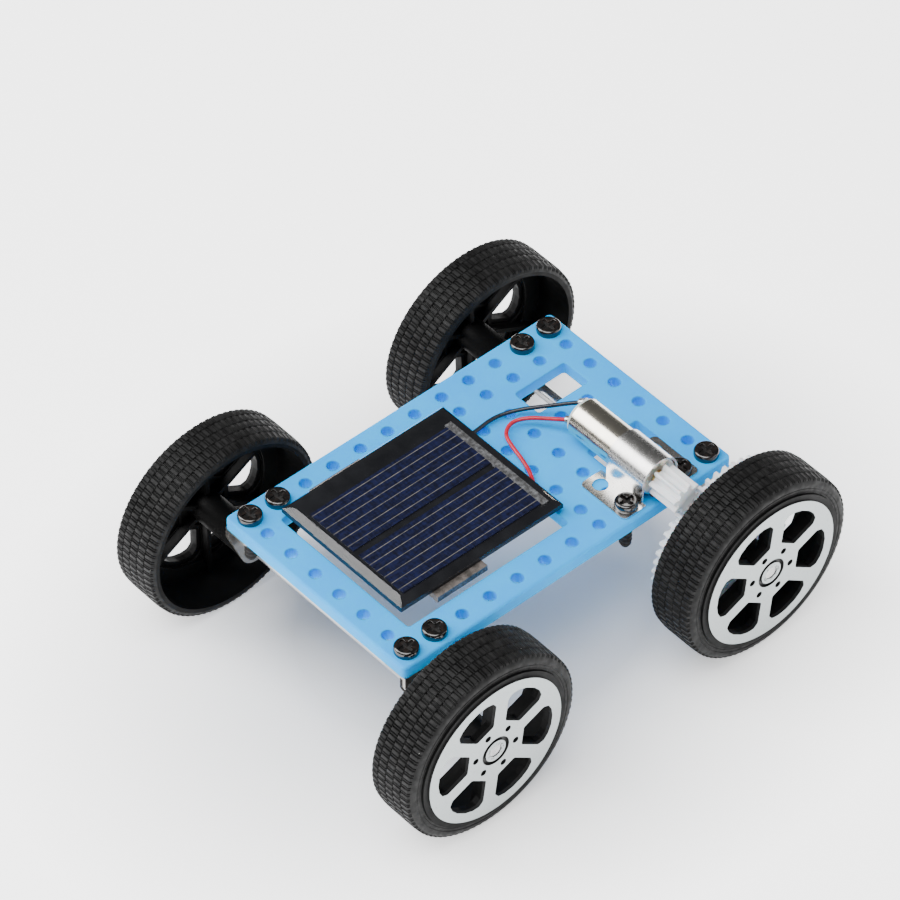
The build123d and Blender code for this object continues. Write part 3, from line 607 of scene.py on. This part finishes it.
def tyre_sides():
    """The section on either side of the tread, as (distance across, radius)."""
    inner = [(0.0, TYRE_BORE_R), (0.0, 14.06), (0.06, 14.2), (0.16, 14.34)]
    outer = [(7.72, 14.50), (7.88, 14.30), (7.97, 14.05), (TYRE_WIDTH, 13.80)]
    for radius, depth in WALL_GROOVES:
        floor = TYRE_WIDTH - depth
        outer += [(TYRE_WIDTH, radius + 0.12), (floor, radius + 0.06)]
        outer += [(floor, radius - 0.06), (TYRE_WIDTH, radius - 0.12)]
    outer += [(TYRE_WIDTH, WALL_BORE_R + 0.04), (TYRE_WIDTH - 0.04, WALL_BORE_R)]
    outer += [(WALL_START, WALL_BORE_R), (WALL_START, TYRE_BORE_R)]
    return inner, outer


def make_tyre(name, x, side, inner_y, body, node):
    """Treaded rubber ring: five rows of staggered blocks with thin fins between them."""
    columns = TREAD_BLOCKS * STEPS
    inner, outer = tyre_sides()
    rings = [(w, [radius] * columns) for w, radius in inner]
    rings += [(w, tread_radii(w, row, share, columns)) for w, row, share in tread_stations()]
    rings += [(w, [radius] * columns) for w, radius in outer]
    centre = Vector((x, 0.0, WHEEL_R))
    vertices = []
    for w, radii in rings:
        for column, radius in enumerate(radii):
            angle = 2 * math.pi * column / columns
            place = centre + Vector((radius * math.cos(angle), 0.0, radius * math.sin(angle)))
            place.y = side * (inner_y + w)
            vertices.append(place * MM)
    faces = []
    count = len(rings)
    for ring in range(count):
        after = (ring + 1) % count
        for column in range(columns):
            right = (column + 1) % columns
            faces.append((ring * columns + column, ring * columns + right,
                          after * columns + right, after * columns + column))
    mesh = mesh_from(name, vertices, faces, 35.0)
    new_piece(name, mesh, body, "tyre_rubber", (node,))


def make_tyres():
    for place, x, side, body in (
        ("front_left", AXLE_X, 1, "front_wheels"),
        ("front_right", AXLE_X, -1, "front_wheels"),
        ("rear_left", -AXLE_X, 1, "rear_wheels"),
        ("rear_right", -AXLE_X, -1, "rear_wheels"),
    ):
        low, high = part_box(f"tyre_{place}")
        inner_y = min(abs(low.y), abs(high.y)) / MM
        make_tyre(f"treaded_tyre_{place}", x, side, inner_y, body, f"tyre_{place}")


make_tyres()


# ---------------------------------------------------------------- screws

SCREW_HEIGHT = 1.15             # of the head
SCREW_LENGTH = 7.8              # below the head
SCREW_SIDES = 96
SHANK_R = 0.94
THREAD_PITCH = 0.75
THREAD_DEPTH = 0.14
THREAD_TURNS = 9.2
THREAD_STEPS = 10               # rings for each turn
HEAD_R = 1.8
SADDLE_HEAD_R = 1.68            # the two that hold the motor's bracket
HEAD_RINGS = 40
HEAD_ROUND = 0.42
HEAD_SKIRT = 0.25               # height of the head's straight side
DISH_R = 1.25                   # the head's top sinks slightly inside this radius
DISH_DEPTH = 0.10
CROSS_REACH = 1.2
CROSS_HALF = 0.34               # half a slot's width at the middle
CROSS_TAPER = 0.35              # share of the width that is lost at a slot's end
CROSS_DEPTH = 0.85
CROSS_RISE = 0.45               # share of the depth that is lost at a slot's end
CROSS_EDGE = 0.04
CROSS_END = 0.12
# node: (places, height of the seat, radius of the head)
SCREW_SETS = {
    "front_left_screws": (((22.5, SCREW_Y), (27.5, SCREW_Y)), DECK_TOP, HEAD_R),
    "front_right_screws": (((22.5, -SCREW_Y), (27.5, -SCREW_Y)), DECK_TOP, HEAD_R),
    "rear_right_screws": (((-27.5, -SCREW_Y), (-22.5, -SCREW_Y)), DECK_TOP, HEAD_R),
    "rear_left_screw": (((-27.5, SCREW_Y),), DECK_TOP, HEAD_R),
    "motor_bracket_screws": (((-22.5, SCREW_Y), (-12.5, SCREW_Y)), SADDLE_TOP, SADDLE_HEAD_R),
}


def smooth_step(low, high, value):
    """0 below the first limit, 1 above the second, and a smooth rise between them."""
    t = min(1.0, max(0.0, (value - low) / (high - low)))
    return t * t * (3 - 2 * t)


def head_top(x, y, head_r):
    """Height of a pan head above its seat, with a tapered cross recess."""
    r = math.hypot(x, y)
    over = max(0.0, r - (head_r - HEAD_ROUND))
    height = SCREW_HEIGHT - HEAD_ROUND + math.sqrt(max(0.0, HEAD_ROUND ** 2 - over ** 2))
    height -= DISH_DEPTH * (1.0 - smooth_step(DISH_R * 0.5, DISH_R, r))
    across, along = sorted((abs(x), abs(y)))
    width = CROSS_HALF * (1.0 - CROSS_TAPER * along / CROSS_REACH)
    cut = 1.0 - smooth_step(width - CROSS_EDGE, width + CROSS_EDGE, across)
    cut *= 1.0 - smooth_step(CROSS_REACH - CROSS_END, CROSS_REACH + CROSS_EDGE, along)
    return height - cut * CROSS_DEPTH * (1.0 - CROSS_RISE * along / CROSS_REACH)


def screw_rings(head_r):
    """Rings down a screw: ("head", radius), ("flat", radius, height) or ("thread", height)."""
    rings = [("head", head_r * i / HEAD_RINGS) for i in range(1, HEAD_RINGS + 1)]
    rings += [("flat", head_r, HEAD_SKIRT), ("flat", head_r - 0.05, 0.0), ("flat", SHANK_R, 0.0)]
    step = THREAD_PITCH / THREAD_STEPS
    rings += [("thread", -0.25 - step * i) for i in range(round(THREAD_TURNS * THREAD_STEPS))]
    rings += [("flat", 0.85, -SCREW_LENGTH + 0.5), ("flat", 0.6, -SCREW_LENGTH)]
    return rings


def ring_point(ring, angle, head_r):
    """(radius, height) of a ring at an angle."""
    kind, size = ring[:2]
    if kind == "head":
        return size, head_top(size * math.cos(angle), size * math.sin(angle), head_r)
    if kind == "flat":
        return size, ring[2]
    wave = (size / THREAD_PITCH + angle / (2 * math.pi)) % 1.0
    return SHANK_R - THREAD_DEPTH * abs(2.0 * wave - 1.0), size


def screw_faces(start, ring_count):
    """Faces of a screw whose first vertex is the middle of its head."""
    turns = [(index, (index + 1) % SCREW_SIDES) for index in range(SCREW_SIDES)]
    faces = [(start, start + 1 + index, start + 1 + after) for index, after in turns]
    for ring in range(ring_count - 1):
        low = start + 1 + ring * SCREW_SIDES
        high = low + SCREW_SIDES
        faces += [(low + index, high + index, high + after, low + after) for index, after in turns]
    last = start + 1 + (ring_count - 1) * SCREW_SIDES
    faces.append(tuple(last + index for index in range(SCREW_SIDES)))
    return faces


def make_screw_set(node, places, seat, head_r):
    """Pan-head screws with a cross recess and a real thread."""
    vertices, faces = [], []
    rings = screw_rings(head_r)
    for cx, cy in places:
        start = len(vertices)
        vertices.append(mm(cx, cy, seat + head_top(0.0, 0.0, head_r)))
        for ring in rings:
            for index in range(SCREW_SIDES):
                angle = 2 * math.pi * index / SCREW_SIDES
                r, z = ring_point(ring, angle, head_r)
                vertices.append(mm(cx + r * math.cos(angle), cy + r * math.sin(angle), seat + z))
        faces += screw_faces(start, len(rings))
    mesh = mesh_from(f"turned_{node}", vertices, faces, 50.0)
    new_piece(f"turned_{node}", mesh, "chassis", "black_steel", (node,))


for screw_node, (screw_places, screw_seat, screw_r) in SCREW_SETS.items():
    make_screw_set(screw_node, screw_places, screw_seat, screw_r)


# ---------------------------------------------------------------- the panel's resin

PANEL = (-5.3, 24.1, -13.5, 11.3)   # low and high x, low and high y
BOARD_TOP = 25.8
RESIN_LIFT = 0.01               # keeps the resin's base off the board
DOME_EDGE = 0.22
DOME_RISE = 0.78
DOME_REACH = 2.7                # distance from the edge at which the dome is level


def dome_height(x, y):
    """The poured resin hangs back from the board's edge and levels out inside."""
    inset = min(x - PANEL[0], PANEL[1] - x, y - PANEL[2], PANEL[3] - y)
    t = min(1.0, inset / DOME_REACH)
    return DOME_EDGE + DOME_RISE * (1.0 - (1.0 - t) ** 1.9)


def even_steps(low, high, edge=3.4, fine=18, coarse=14):
    """Stations from low to high, closer together near both ends."""
    near = [low + edge * (i / fine) ** 1.4 for i in range(fine)]
    middle = [low + edge + (high - low - 2 * edge) * i / coarse for i in range(coarse + 1)]
    far = [low + high - value for value in reversed(near)]
    return near + middle + far


def make_resin():
    """The clear dome over the solar cells, closed underneath."""
    xs, ys = even_steps(PANEL[0], PANEL[1]), even_steps(PANEL[2], PANEL[3])
    columns, rows = len(xs), len(ys)
    vertices = [mm(x, y, BOARD_TOP + dome_height(x, y)) for y in ys for x in xs]
    faces = [(j * columns + i, j * columns + i + 1, (j + 1) * columns + i + 1, (j + 1) * columns + i)
             for j in range(rows - 1) for i in range(columns - 1)]
    rim = list(range(columns))
    rim += [j * columns + columns - 1 for j in range(1, rows)]
    rim += [(rows - 1) * columns + i for i in range(columns - 2, -1, -1)]
    rim += [j * columns for j in range(rows - 2, 0, -1)]
    base = len(vertices)
    for index in rim:
        corner = vertices[index]
        vertices.append((corner[0], corner[1], (BOARD_TOP + RESIN_LIFT) * MM))
    count = len(rim)
    for index in range(count):
        after = (index + 1) % count
        faces.append((rim[index], base + index, base + after, rim[after]))
    faces.append(tuple(base + index for index in range(count)))
    mesh = mesh_from("poured_resin", vertices, faces, 60.0)
    new_piece("poured_resin", mesh, "chassis", "clear_resin", ("panel_resin",))


make_resin()


# ---------------------------------------------------------------- studio

FLOOR_SIZE = 6.0                # metres
# the floor's glow, a painted light, fades to a painted shadow under the car inside the first distance
# and is full beyond the second
SHADOW_GLOW_START = 28.0               # millimetres from the middle
SHADOW_GLOW_FULL = 75.0
PAINTED_SHADOW_SQUEEZE = 1.25             # the painted shadow under the car is narrower across it
LAMP_AIM = (0.0, 0.0, 0.02)
# (name, place, size, watts), in metres
LAMPS = (
    ("top_softbox", (0.16, 0.06, 0.60), (0.45, 0.45), 4.5),
    ("left_softbox", (0.29, -0.33, 0.40), (0.32, 0.50), 4.2),
    ("right_softbox", (-0.30, 0.48, 0.30), (0.40, 0.30), 0.8),
)


def make_floor():
    """White paper that glows away from the car, for the near-white background, with a painted shadow
    under the car where the glow fades.
    """
    mesh = bpy.data.meshes.new("floor")
    work = bmesh.new()
    bmesh.ops.create_grid(work, x_segments=1, y_segments=1, size=FLOOR_SIZE)
    work.to_mesh(mesh)
    work.free()
    floor = bpy.data.objects.new("floor", mesh)
    bpy.context.scene.collection.objects.link(floor)
    r = Recipe("floor_paper_glow_and_painted_shadow", (0.9, 0.9, 0.9), 0.9, specular=0.1)
    r.colour(r.patches(r.noise(60.0, 2.0), (0.90, 0.90, 0.90), (0.885, 0.885, 0.89), 0.3, 0.7))
    reach = r.reach(r.axis("X"), r.math("MULTIPLY", r.axis("Y"), PAINTED_SHADOW_SQUEEZE))
    # painted shadow and painted light: the emission is almost nil under the car and glows bright
    # further out
    glow_and_painted_shadow = r.span(reach, SHADOW_GLOW_START * MM, SHADOW_GLOW_FULL * MM, 0.08, 2.6)
    r.set(Emission_Color=(1.0, 1.0, 1.0, 1.0))
    r.link(glow_and_painted_shadow, r.shader.inputs["Emission Strength"])
    mesh.materials.append(r.material)


def make_lamp(name, place, size, power):
    """A rectangular soft box aimed at the car."""
    data = bpy.data.lights.new(name, "AREA")
    data.shape = "RECTANGLE"
    data.size, data.size_y = size
    data.energy = power
    lamp = bpy.data.objects.new(name, data)
    lamp.location = place
    direction = Vector(LAMP_AIM) - Vector(place)
    lamp.rotation_euler = direction.to_track_quat("-Z", "Y").to_euler()
    bpy.context.scene.collection.objects.link(lamp)


def make_world():
    world = bpy.data.worlds.new("studio_world")
    world.use_nodes = True
    background = world.node_tree.nodes["Background"]
    background.inputs["Color"].default_value = (1.0, 1.0, 1.0, 1.0)
    background.inputs["Strength"].default_value = 0.10
    bpy.context.scene.world = world


make_floor()
make_world()
for lamp_name, lamp_place, lamp_size, lamp_power in LAMPS:
    make_lamp(lamp_name, lamp_place, lamp_size, lamp_power)
